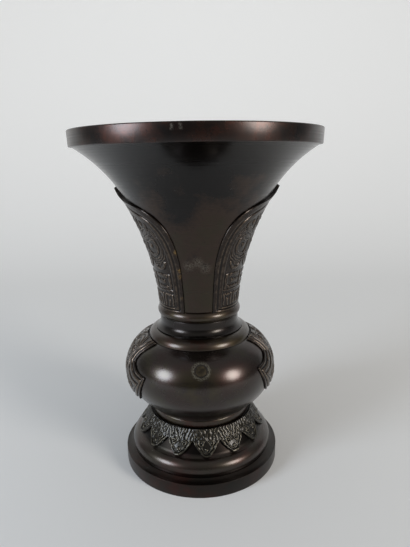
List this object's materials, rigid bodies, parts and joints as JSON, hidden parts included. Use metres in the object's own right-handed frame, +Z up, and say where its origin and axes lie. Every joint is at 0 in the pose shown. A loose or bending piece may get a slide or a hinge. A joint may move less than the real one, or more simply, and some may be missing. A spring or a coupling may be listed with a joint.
{
  "type": "gu vase",
  "caption": "Flared bronze altar vase of gu form with relief plates on neck and belly, a petal skirt on the domed foot and a plain plinth ring.",
  "frame": {"origin": "centre of the face that the vase stands on", "axes": "+Z up along the vase's axis, -Y towards the front with the core plug, +X to the right"},
  "size_m": [0.1672, 0.1672, 0.24],
  "materials": {
    "rim_bronze": "reddish brown patina, satin, fine lathe lines",
    "trumpet_bronze": "dark brown patina, satin",
    "relief_bronze": "olive brown patina, worn brighter on the high lines",
    "moulding_bronze": "brown patina, satin",
    "belly_bronze": "dark brown patina, satin",
    "petal_bronze": "grey olive patina, matt in the hollows",
    "foot_bronze": "brown patina, satin",
    "base_bronze": "dull brown, as cast",
    "soft_solder": "dull grey"
  },
  "bodies": {
    "root": {"rim_band": "rim_bronze", "mouth_trumpet": "trumpet_bronze", "neck_plaque_left": "relief_bronze", "neck_plaque_right": "relief_bronze", "neck_ring": "moulding_bronze", "belly": "belly_bronze", "shoulder_ring": "moulding_bronze", "belly_plaque_left": "relief_bronze", "belly_plaque_right": "relief_bronze", "core_plug_front": "belly_bronze", "core_plug_back": "belly_bronze", "waist_ring": "moulding_bronze", "foot": "foot_bronze", "lappet_collar": "petal_bronze", "plinth_ring": "foot_bronze", "base_plate": "base_bronze", "neck_solder": "soft_solder", "waist_solder": "soft_solder", "base_plate_solder": "soft_solder"}
  },
  "joints": []
}
